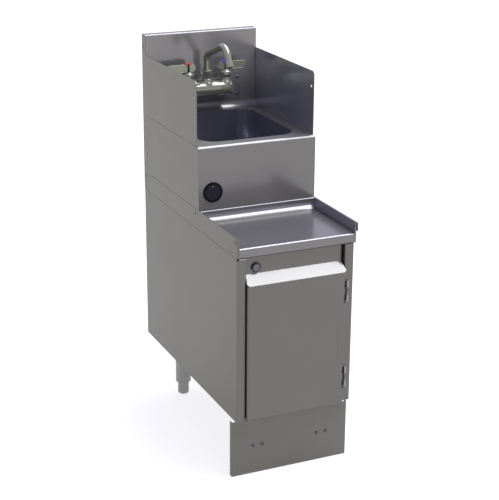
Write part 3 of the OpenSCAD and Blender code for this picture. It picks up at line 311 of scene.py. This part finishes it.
STEEL = (0.142, 0.138, 0.122)
BOWL = (0.238, 0.234, 0.272)
TAP_PLATE = (0.232, 0.226, 0.234)
MILL = (0.136, 0.131, 0.125)
LEG = (0.25, 0.248, 0.24)
HINGE = (0.248, 0.238, 0.234)
BRIGHT = (0.23, 0.235, 0.17)
BRASS = (0.42, 0.29, 0.11)
BLACK = (0.003, 0.003, 0.004)
BLACK_WEAR = (0.01, 0.01, 0.01)
SLATE = (0.008, 0.008, 0.013)
SLATE_WEAR = (0.03, 0.03, 0.04)
RED = (0.55, 0.012, 0.01)
RED_WEAR = (0.9, 0.3, 0.3)
BLUE = (0.012, 0.05, 0.62)
BLUE_WEAR = (0.3, 0.4, 0.9)
mats = {
    "sheet_steel": sheet_metal("satin_sheet_steel", STEEL, 0.23, 0.5, 0.8, 1.3),
    "bowl_steel": sheet_metal("drawn_bowl_steel", BOWL, 0.18, 0.4, 0.6, 3.1, 0.75, POLISHED_EDGE),
    "plate_steel": sheet_metal("tap_plate_steel", TAP_PLATE, 0.2, 0.5, 1.0, 4.7),
    "bare_steel": sheet_metal("mill_finish_steel", MILL, 0.33, 1.2, 1.5, 6.9),
    "leg_steel": sheet_metal("polished_tube_steel", LEG, 0.17, 0.5, 1.0, 8.2, edge=POLISHED_EDGE),
    "hinge_steel": sheet_metal("hinge_steel", HINGE, 0.22, 0.5, 1.0, 9.4),
    "plated": polished("bright_plate", BRIGHT, 0.06, 2.2),
    "brass": polished("turned_brass", BRASS, 0.25, 5.0),
    "black_plastic": plastic("black_moulding", BLACK, 0.4, 1.0, BLACK_WEAR, 1.1, 0.1),
    "slate_plastic": plastic("slate_moulding", SLATE, 0.5, 1.0, SLATE_WEAR, 2.6, 0.2),
    "hot_red": plastic("hot_red_disc", RED, 0.22, 0.3, RED_WEAR, 3.3),
    "cold_blue": plastic("cold_blue_disc", BLUE, 0.22, 0.3, BLUE_WEAR, 4.1),
}

# Nodes of the same slot that are polished differently from the cabinet's sheet; the sink top and the
# right guard also have painted shade and painted light in their tones
SINK_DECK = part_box("right_splash_guard")[0].z
SPLASH_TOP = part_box("sink_top")[1].z
TOP_DEPTH = 0.004
TOP_STEEL = (0.214, 0.207, 0.19)
DECK_STEEL = (0.181, 0.175, 0.168)
SCREW_STEEL = (0.12, 0.117, 0.13)
LOCK_CASE = (0.06, 0.058, 0.066)
LOCK_FACE = (0.145, 0.141, 0.14)
# Painted light: the right guard's colour is lighter and bluer for the light its inner face reflects
GUARD_PAINTED_LIGHT = (0.31, 0.31, 0.35)
# Painted shade on the sink top: darker below the sink deck and on the backsplash's top face
RISER_PAINTED_SHADE = 0.8
TOP_PAINTED_SHADE = (0.5, 0.49, 0.4)
# Painted shade on all of the guard's and skirt's faces but the inner, left-facing one
OUTER_PAINTED_SHADE = (0.47, 0.455, 0.36)
# Sink top with painted shade below the sink deck and on its top face
top_steel_painted_shade = sheet_metal(
    "top_steel_with_painted_shade", TOP_STEEL, 0.19, 0.6, 0.8, 11.3, metal=0.45, edge=0.8,
    painted_riser_shade=(SINK_DECK, RISER_PAINTED_SHADE), top=(SPLASH_TOP - TOP_DEPTH, TOP_PAINTED_SHADE),
)
# Right guard and skirt: painted light on the inner face, painted shade on the others
guard_steel_painted_light = sheet_metal(
    "guard_steel_with_painted_light", GUARD_PAINTED_LIGHT, 0.18, 0.4, 1.2, 13.9, metal=0.7, edge=POLISHED_EDGE,
    painted_outer_shade=OUTER_PAINTED_SHADE,
)
screw_steel = sheet_metal(
    "oiled_screw_steel", SCREW_STEEL, 0.28, 0.4, 1.0, 14.2, metal=0.9, edge=POLISHED_EDGE
)
case_steel = sheet_metal(
    "lock_case_steel", LOCK_CASE, 0.14, 0.3, 1.0, 15.6, metal=0.95, edge=POLISHED_EDGE
)
own_finish = {
    "sink_top": top_steel_painted_shade,
    "work_deck": sheet_metal("polished_deck_steel", DECK_STEEL, 0.21, 0.6, 0.8, 12.1, edge=0.85),
    "toe_screws": screw_steel,
    "lock_barrel": case_steel,
    "lock_plug": sheet_metal("lock_face_steel", LOCK_FACE, 0.2, 0.4, 1.0, 16.8),
    "right_splash_guard": guard_steel_painted_light,
    "right_skirt": guard_steel_painted_light,
}
slot_of = {s["node"]: s["material_slot"] for s in frame["record"]["subparts"]}
for name, obj in nodes.items():
    obj.data.materials.clear()
    obj.data.materials.append(own_finish.get(name, mats[slot_of[name]]))


def add_piece(name, bm, body, slot, replaced=(), flat=False):
    mesh = bpy.data.meshes.new(name)
    bmesh.ops.recalc_face_normals(bm, faces=bm.faces)
    bm.to_mesh(mesh)
    bm.free()
    for face in mesh.polygons:
        face.use_smooth = not flat
    mesh.materials.append(mats[slot])
    obj = bpy.data.objects.new(name, mesh)
    bpy.context.scene.collection.objects.link(obj)
    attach(obj, body)
    if replaced:
        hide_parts(*replaced)
    return obj


def loft(bm, rings):
    """Skins a row of rings with equal counts and closes both ends."""
    loops = [[bm.verts.new(p) for p in ring] for ring in rings]
    for a, b in zip(loops, loops[1:]):
        for i in range(len(a)):
            j = (i + 1) % len(a)
            bm.faces.new((a[i], a[j], b[j], b[i]))
    bm.faces.new(reversed(loops[0]))
    bm.faces.new(loops[-1])


def lathe(bm, foot, profile, along=AXIS_Z, steps=48):
    """Turns (radius, height) pairs, in millimetres, round an axis that starts at foot."""
    side = along.orthogonal().normalized()
    other = along.cross(side)
    angles = [2 * math.pi * k / steps for k in range(steps)]
    rings = []
    for radius, height in profile:
        centre = foot + along * height / MM_PER_M
        reach = radius / MM_PER_M
        rings.append([centre + (side * math.cos(a) + other * math.sin(a)) * reach for a in angles])
    loft(bm, rings)


def rounded(points, radii, steps=6):
    """Closed outline through the points with an arc of the given radius at each corner."""
    out = []
    count = len(points)
    for i, (p, r) in enumerate(zip(points, radii)):
        p = Vector(p)
        a = (Vector(points[i - 1]) - p).normalized()
        b = (Vector(points[(i + 1) % count]) - p).normalized()
        half = a.angle(b) / 2
        reach = r / math.tan(half)
        centre = p + (a + b).normalized() * r / math.sin(half)
        start, end = p + a * reach - centre, p + b * reach - centre
        sweep = start.angle_signed(end)
        for k in range(steps + 1):
            out.append(centre + Matrix.Rotation(-sweep * k / steps, 2) @ start)
    return out


def soften(obj, width, segments=3, angle=35):
    bevel = obj.modifiers.new("soft_edges", "BEVEL")
    bevel.width = width / MM_PER_M
    bevel.segments = segments
    bevel.limit_method = "ANGLE"
    bevel.angle_limit = math.radians(angle)
    bevel.harden_normals = True


body_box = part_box("tap_body")
valve_low, valve_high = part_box("cold_valve")
tap_centre = (valve_low + valve_high) / 2
VALVE_X = tap_centre.x * MM_PER_M
TAP_Y = tap_centre.y * MM_PER_M - FRAME_Y
BODY_TOP = body_box[1].z * MM_PER_M
NECK_R = 11
NECK_H = 14
BONNET_R = 15.4
BONNET_H = 13
BONNET_TOP = NECK_H + BONNET_H
# Radius and height above the body of the foot that each neck grows from
TRUMPET = [
    (NECK_R - 1, -14), (NECK_R + 7.5, -12), (NECK_R + 6.2, -5), (NECK_R + 3.2, 0),
    (NECK_R + 1.3, 3.5), (NECK_R + 0.7, 6.5), (NECK_R - 0.6, 8),
]
BONNET = [
    (NECK_R - 0.5, -2), (NECK_R, -1), (NECK_R, NECK_H - 5), (NECK_R + 0.7, NECK_H - 3.2),
    (BONNET_R - 1.6, NECK_H - 1.4), (BONNET_R - 0.3, NECK_H - 0.4), (BONNET_R, NECK_H + 1),
    (BONNET_R, BONNET_TOP - 6), (BONNET_R - 0.5, BONNET_TOP - 4.3),
    (BONNET_R - 2.4, BONNET_TOP - 2.5), (BONNET_R - 5.8, BONNET_TOP - 1.1),
    (BONNET_R - 7.2, BONNET_TOP - 0.9), (BONNET_R - 7.4, BONNET_TOP - 0.1),
    (3, BONNET_TOP - 0.1), (2.6, BONNET_TOP + 0.3), (2.6, BONNET_TOP + 12),
]
VOXEL = 0.0013
RELAX_ROUNDS = 9


def cast_body():
    """One casting: the CAD body and a trumpet under each neck, fused and smoothed."""
    bm = bmesh.new()
    bm.from_mesh(nodes["tap_body"].data)
    for x in (-VALVE_X, 0, VALVE_X):
        lathe(bm, place(x, TAP_Y, BODY_TOP), TRUMPET)
    body = add_piece("cast_tap_body", bm, "frame", "plated", ["tap_body"])
    fuse = body.modifiers.new("fuse", "REMESH")
    fuse.mode = "VOXEL"
    fuse.voxel_size = VOXEL
    fuse.use_smooth_shade = True
    relax = body.modifiers.new("relax", "SMOOTH")
    relax.factor = 0.5
    relax.iterations = RELAX_ROUNDS


def valve_bonnet(name, side, node):
    """Neck, swelling and domed bonnet, with a packing ring round the slim stem."""
    bm = bmesh.new()
    lathe(bm, place(side * VALVE_X, TAP_Y, BODY_TOP), BONNET)
    add_piece(name, bm, "frame", "plated", [node])


HUB_R = 6.8
HUB_GAP = 0.3
LEVER_OUT = 60.7
LEVER_IN = 19.6
LEVER_H = 20
LEVER_LOW = BODY_TOP + BONNET_TOP + HUB_GAP
LEVER_HIGH = LEVER_LOW + LEVER_H
BLADE_SLANT = 10
BLADE_HALF = 1.7
BLADE_BEVEL = 0.9
LIP_OUT = -5.6
LIP_H = 2.2
LIP_END = LEVER_OUT - BLADE_SLANT
BLADE = [
    (-LEVER_IN, LEVER_LOW), (-LEVER_IN, LEVER_HIGH),
    (LEVER_OUT, LEVER_HIGH), (LIP_END, LEVER_LOW),
]
BLADE_CORNERS = [8.5, 8.5, 5, 6]
LIP = [(HUB_R, LIP_OUT), (LIP_END - 3, LIP_OUT), (LIP_END - 1, 0), (HUB_R, 0)]
LIP_CORNERS = [2.2, 3.2, 0.6, 0.6]
POST_R = 3.1
POST = [
    (POST_R + 0.8, 0), (POST_R + 1.2, 0.4), (POST_R + 1.2, 1.6), (POST_R + 0.8, 2.2),
    (POST_R, 2.8), (POST_R, 4), (POST_R, 11), (POST_R - 0.5, 11.6), (POST_R - 0.5, 12.6),
    (POST_R, 13.2), (POST_R, LEVER_H - 1), (POST_R + 1.4, LEVER_H - 0.1),
]


def wrist_blade(tint, side, body):
    """Tall blade with rounded ends and a turned-out lower lip, and the dark post under its disc."""
    bm = bmesh.new()
    outline = rounded(BLADE, BLADE_CORNERS)
    loft(bm, [
        [place(side * (VALVE_X + p.x), TAP_Y + y, p.y) for p in outline]
        for y in (-BLADE_HALF, BLADE_HALF)
    ])
    lip = rounded(LIP, LIP_CORNERS, 4)
    loft(bm, [
        [place(side * (VALVE_X + p.x), TAP_Y + p.y, z) for p in lip]
        for z in (LEVER_LOW, LEVER_LOW + LIP_H)
    ])
    blade = add_piece(tint + "_blade", bm, body, "plated", [tint + "_handle"], flat=True)
    soften(blade, BLADE_BEVEL)
    bm = bmesh.new()
    lathe(bm, place(side * VALVE_X, TAP_Y, LEVER_LOW), POST)
    add_piece(tint + "_post", bm, body, "black_plastic")


COLLAR = [
    (9.4, -2), (9.6, -1), (9.6, 22), (10.2, 23.4), (12.2, 25), (12.8, 26), (12.8, 27.2),
    (12.2, 28), (12.2, 28.6), (12.5, 29), (11.8, 29.9), (8.6, 30),
]


def spout_collar():
    """Sleeve and collar that the spout turns in, with the two grooves of its trim rings."""
    bm = bmesh.new()
    lathe(bm, place(0, TAP_Y, BODY_TOP), COLLAR)
    add_piece("spout_collar", bm, "frame", "plated", ["spout_nut"])


HEAD_R = 4
HEAD_OUT = 2.2
HEAD = [
    (HEAD_R, -0.4), (HEAD_R, 1.1), (HEAD_R - 0.5, 1.9), (HEAD_R - 0.9, 2.15),
    (2.95, 1.9), (2.8, 0.9), (0.1, 0.8),
]
# Black disc set in each driver recess: painted shade
SHADE_DISC_PROFILE = [(2.85, 0.95), (2.85, 1.3), (1.4, 1.2), (0.1, 1.05)]


def plate_screw_heads():
    """Dished screw heads in the four corners of the tap's plate, with a black disc in each driver
    recess as painted shade.
    """
    low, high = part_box("plate_screws")
    rim, shade_disc = bmesh.new(), bmesh.new()
    front = low.y * MM_PER_M - FRAME_Y + HEAD_OUT
    for x in (low.x * MM_PER_M + HEAD_R, high.x * MM_PER_M - HEAD_R):
        for z in (low.z * MM_PER_M + HEAD_R, high.z * MM_PER_M - HEAD_R):
            foot = place(x, front, z)
            lathe(rim, foot, HEAD, TO_FRONT, 32)
            lathe(shade_disc, foot, SHADE_DISC_PROFILE, TO_FRONT, 24)
    add_piece("plate_screw_heads", rim, "frame", "plated", ["plate_screws"])
    add_piece("plate_screw_painted_recess_shade", shade_disc, "frame", "black_plastic")


cap_low, cap_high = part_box("grommet_cap")
CAP_X = (cap_low.x + cap_high.x) / 2 * MM_PER_M
CAP_Z = (cap_low.z + cap_high.z) / 2 * MM_PER_M
CAP_FACE = cap_low.y * MM_PER_M - FRAME_Y
DOT_IN = 0.9
DOT_UP = 14.2
DOT = [(1.9, 0), (1.9, 0.6), (1.6, 1.0), (0.9, 1.25), (0.1, 1.3)]
BAR_COUNT = 4
BAR_FROM = 196
BAR_STEP = 16
BAR_RING = 13.6
BAR_HALF = 1.8
BAR_THICK = 0.5
BAR_CORNER = 0.4
BAR_DEPTHS = (-0.05, 0.6)


def cap_marks():
    """Raised dot and short raised bars on the turning cap."""
    bm = bmesh.new()
    lathe(bm, place(CAP_X, CAP_FACE + DOT_IN, CAP_Z + DOT_UP), DOT, TO_FRONT, 24)
    add_piece("cap_dot", bm, "cap", "plated")
    bm = bmesh.new()
    for k in range(BAR_COUNT):
        a = math.radians(BAR_FROM + BAR_STEP * k)
        x = CAP_X + BAR_RING * math.cos(a)
        z = CAP_Z + BAR_RING * math.sin(a)
        corners = [
            (x - BAR_HALF, z - BAR_THICK), (x - BAR_HALF, z + BAR_THICK),
            (x + BAR_HALF, z + BAR_THICK), (x + BAR_HALF, z - BAR_THICK),
        ]
        bar = rounded(corners, [BAR_CORNER] * 4, 3)
        loft(bm, [[place(p.x, CAP_FACE + y, p.y) for p in bar] for y in BAR_DEPTHS])
    add_piece("cap_bars", bm, "cap", "slate_plastic")


guard_low, guard_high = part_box("right_splash_guard")
WELD_R = 1.3
WELD_PITCH = 2.6
# Cross section of a bead, in radii along the two directions of its corner
BEAD = ((-0.2, -0.2), (1, -0.2), (1, 0.1), (0.62, 0.36), (0.36, 0.62), (0.1, 1), (-0.2, 1))
# Where the beads stop, in metres from the guard's front edge, the wall, the deck and the guard's top
WELD_FRONT = 0.004
WELD_END = 0.018
WELD_TOP = 0.003


RIPPLE = 0.08
STEPS_PER_RIPPLE = 4
LEAST_STEPS = 8
FADE_RATE = 12
END_SHARE = 0.3


def weld_bead(bm, start, end, first, second):
    """Fillet weld from start to end, lying in the corner between the directions first and second."""
    ripples = (end - start).length * MM_PER_M / WELD_PITCH
    steps = max(LEAST_STEPS, int(ripples * STEPS_PER_RIPPLE))
    rings = []
    for k in range(steps + 1):
        t = k / steps
        wave = 1 + RIPPLE * math.sin(2 * math.pi * k / STEPS_PER_RIPPLE)
        fade = math.sqrt(min(1, FADE_RATE * t, FADE_RATE * (1 - t))) if 0 < t < 1 else END_SHARE
        r = WELD_R * wave * fade / MM_PER_M
        centre = start.lerp(end, t)
        rings.append([centre + first * r * a + second * r * b for a, b in BEAD])
    loft(bm, rings)


def guard_welds():
    """Beads where each splash guard stands on the deck and meets the backsplash."""
    z_deck, z_top = guard_low.z, guard_high.z - WELD_TOP
    y_front, y_wall = guard_low.y + WELD_FRONT, guard_high.y
    bm = bmesh.new()
    for side in (-1, 1):
        x = side * guard_low.x
        inward = Vector((-side, 0, 0))
        front, rear = Vector((x, y_front, z_deck)), Vector((x, y_wall - WELD_END, z_deck))
        weld_bead(bm, front, rear, inward, AXIS_Z)
        foot, head = Vector((x, y_wall, z_deck + WELD_END)), Vector((x, y_wall, z_top))
        weld_bead(bm, foot, head, inward, TO_FRONT)
    add_piece("guard_welds", bm, "frame", "sheet_steel")


plate_screw_heads()
cast_body()
valve_bonnet("hot_bonnet", -1, "hot_valve")
valve_bonnet("cold_bonnet", 1, "cold_valve")
wrist_blade("hot", -1, "hot_tap")
wrist_blade("cold", 1, "cold_tap")
spout_collar()
cap_marks()
guard_welds()

# Camera angles in degrees and place in metres, fitted to the photo's straight edges
AZIMUTH = -24.266
ELEVATION = 19.275
ROLL = 0.366
CAMERA_AT = Vector((-1.2803, -2.8644, 1.5656))
LENS = 96.22
SENSOR = 36
FAR_END = 60


def view_axes(azimuth, elevation, roll):
    a, e, r = (math.radians(v) for v in (azimuth, elevation, roll))
    back = Vector((math.sin(a) * math.cos(e), -math.cos(a) * math.cos(e), math.sin(e)))
    right = (-back).cross(AXIS_Z).normalized()
    up = right.cross(-back)
    return math.cos(r) * right + math.sin(r) * up, -math.sin(r) * right + math.cos(r) * up, back


def build_camera():
    data = bpy.data.cameras.new("view")
    data.sensor_width = SENSOR
    data.lens = LENS
    data.clip_end = FAR_END
    camera = bpy.data.objects.new("view", data)
    bpy.context.scene.collection.objects.link(camera)
    turn = Matrix(view_axes(AZIMUTH, ELEVATION, ROLL)).transposed().to_4x4()
    turn.translation = CAMERA_AT
    camera.matrix_world = turn
    bpy.context.scene.camera = camera


WHITE = (1, 1, 1, 1)
# Studio walls and ceiling: place on the ramp from straight down to straight up, and colour
SKY = [
    (0.0, (0.82, 0.78, 0.66)),
    (0.48, (0.82, 0.78, 0.66)),
    (0.54, (0.86, 0.84, 0.83)),
    (0.66, (0.80, 0.79, 1.08)),
    (0.80, (0.80, 0.80, 1.20)),
    (1.0, (0.80, 0.80, 1.15)),
]
# Upward part of a direction at which the white backdrop begins to fade, and at which it has gone
BACKDROP_FULL = 0.0
BACKDROP_END = 0.14
# Long overhead softbox: a band of directions round an axis, from in front of the part to behind it
BOX_AXIS = Vector((1, 0, 0.28)).normalized()
BOX_CENTRE = 0.62
BOX_EDGE = 0.34
BOX_CORE = 0.16
BOX_START = 0.62
BOX_FULL = 0.78
BOX_POWER = 8.0
BOX_COLOUR = (0.97, 1.0, 1.12, 1)


def sky_light(t, upward):
    """Light of the walls and the ceiling, by how far up a direction points."""
    ramp = t.add("ShaderNodeValToRGB")
    t.link(t.math("MULTIPLY_ADD", upward, 0.5, 0.5), ramp.inputs["Fac"])
    elements = ramp.color_ramp.elements
    while len(elements) < len(SKY):
        elements.new(0.5)
    for element, (at, colour) in zip(elements, SKY):
        element.position = at
        element.color = (*colour, 1)
    sky = t.add("ShaderNodeBackground", Strength=1.0)
    t.link(ramp.outputs["Color"], sky.inputs["Color"])
    return sky.outputs[0]


def box_light(t, direction, upward):
    """Light of the softbox."""
    dot = t.add("ShaderNodeVectorMath", operation="DOT_PRODUCT")
    t.link(direction, dot.inputs[0])
    dot.inputs[1].default_value = BOX_AXIS
    across = t.math("ABSOLUTE", t.math("SUBTRACT", dot.outputs["Value"], BOX_CENTRE))
    window = t.spread(across, 0, 1, BOX_EDGE, BOX_CORE, "SMOOTHSTEP")
    height = t.spread(upward, 0, 1, BOX_START, BOX_FULL, "SMOOTHSTEP")
    lamp = t.add("ShaderNodeBackground", Color=BOX_COLOUR)
    power = t.math("MULTIPLY", t.math("MULTIPLY", window, height), BOX_POWER)
    t.link(power, lamp.inputs["Strength"])
    return lamp.outputs[0]


def build_world():
    world = bpy.data.worlds.new("studio")
    bpy.context.scene.world = world
    world.use_nodes = True
    t = Tree(world.node_tree)
    t.tree.nodes.clear()
    direction = t.coords("Generated")
    upward = t.split(direction)["Z"]
    studio = t.add_shader(box_light(t, direction, upward), sky_light(t, upward))
    white = t.add("ShaderNodeBackground", Color=WHITE).outputs[0]
    # The camera sees white all round, and a reflection sees it up to the end of the backdrop
    seen, mirrored = t.ray_kinds()
    backdrop = t.spread(upward, 0, 1, BACKDROP_END, BACKDROP_FULL, "SMOOTHSTEP")
    shown = t.math("MAXIMUM", seen, t.math("MULTIPLY", mirrored, backdrop))
    out = t.add("ShaderNodeOutputWorld")
    t.link(t.mix_shader(shown, studio, white), out.inputs["Surface"])


FLOOR_SIZE = 14
FLOOR_LIGHT = (0.82, 0.78, 0.68, 1)
# The floor seen by camera and mirror is white: part of it glows, the rest takes light and shadow
FLOOR_GLOW = 0.8
FLOOR_PAINT = (0.22, 0.22, 0.22, 1)


def build_floor():
    mesh = bpy.data.meshes.new("floor")
    corners = [(-1, -1), (1, -1), (1, 1), (-1, 1)]
    mesh.from_pydata([(x * FLOOR_SIZE, y * FLOOR_SIZE, 0) for x, y in corners], [], [(0, 1, 2, 3)])
    floor = bpy.data.objects.new("floor", mesh)
    bpy.context.scene.collection.objects.link(floor)
    mat = bpy.data.materials.new("pale_floor")
    mat.use_nodes = True
    t = Tree(mat.node_tree)
    t.tree.nodes.clear()
    matt = t.add("ShaderNodeEmission", Color=FLOOR_LIGHT).outputs[0]
    glow = t.add("ShaderNodeEmission", Color=WHITE, Strength=FLOOR_GLOW).outputs[0]
    paint = t.add("ShaderNodeBsdfDiffuse", Color=FLOOR_PAINT).outputs[0]
    seen, mirrored = t.ray_kinds()
    shown = t.math("MAXIMUM", seen, mirrored)
    out = t.add("ShaderNodeOutputMaterial")
    t.link(t.mix_shader(shown, matt, t.add_shader(glow, paint)), out.inputs["Surface"])
    mesh.materials.append(mat)


build_camera()
build_world()
build_floor()
bpy.context.scene.view_settings.view_transform = "Standard"
